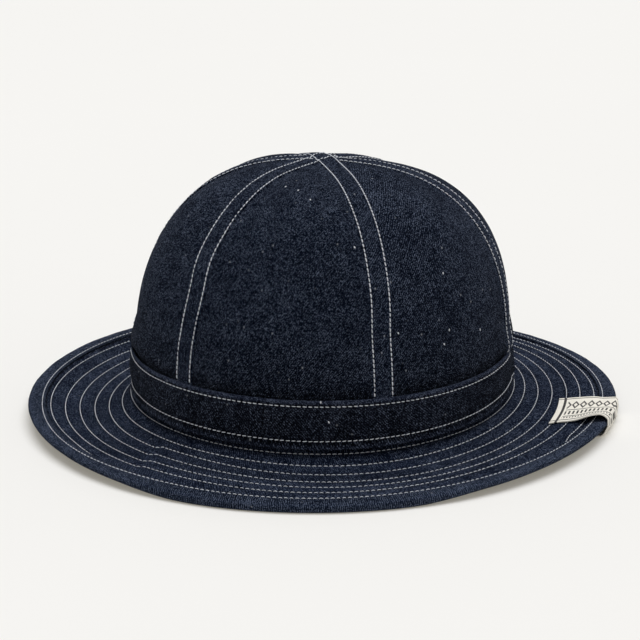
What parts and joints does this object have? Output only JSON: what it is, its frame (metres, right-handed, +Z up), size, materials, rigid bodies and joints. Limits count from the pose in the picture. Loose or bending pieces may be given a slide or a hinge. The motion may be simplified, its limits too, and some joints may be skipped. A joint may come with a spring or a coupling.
{
  "type": "denim hat",
  "caption": "Round denim hat with a panelled crown in felled seams, a stitched hatband, a quilted brim with a bound edge and a small folded label.",
  "frame": {"origin": "on the surface that the hat rests on, in the middle of the hat", "axes": "+Z up through the crown, -Y towards the front of the hat, +X towards the wearer's left"},
  "size_m": [0.2714, 0.288, 0.1186],
  "materials": {
    "crown_denim": "dark indigo denim twill, matt, with pale slubs and pale grey topstitching",
    "band_denim": "the same indigo denim, a shade darker, matt",
    "brim_denim": "dark indigo denim twill, matt, quilted with rings of pale grey stitching",
    "binding_denim": "dark indigo denim cut on the bias, matt",
    "label_weave": "cream woven cloth tape with fine dark grey lines, matt",
    "seam_thread": "pale grey sewing thread, matt"
  },
  "bodies": {
    "root": {"crown_panel_front": "crown_denim", "crown_panel_front_left": "crown_denim", "crown_panel_back_left": "crown_denim", "crown_panel_back": "crown_denim", "crown_panel_back_right": "crown_denim", "crown_panel_front_right": "crown_denim", "hatband": "band_denim", "brim": "brim_denim", "edge_binding": "binding_denim", "edge_label": "label_weave"}
  },
  "joints": []
}
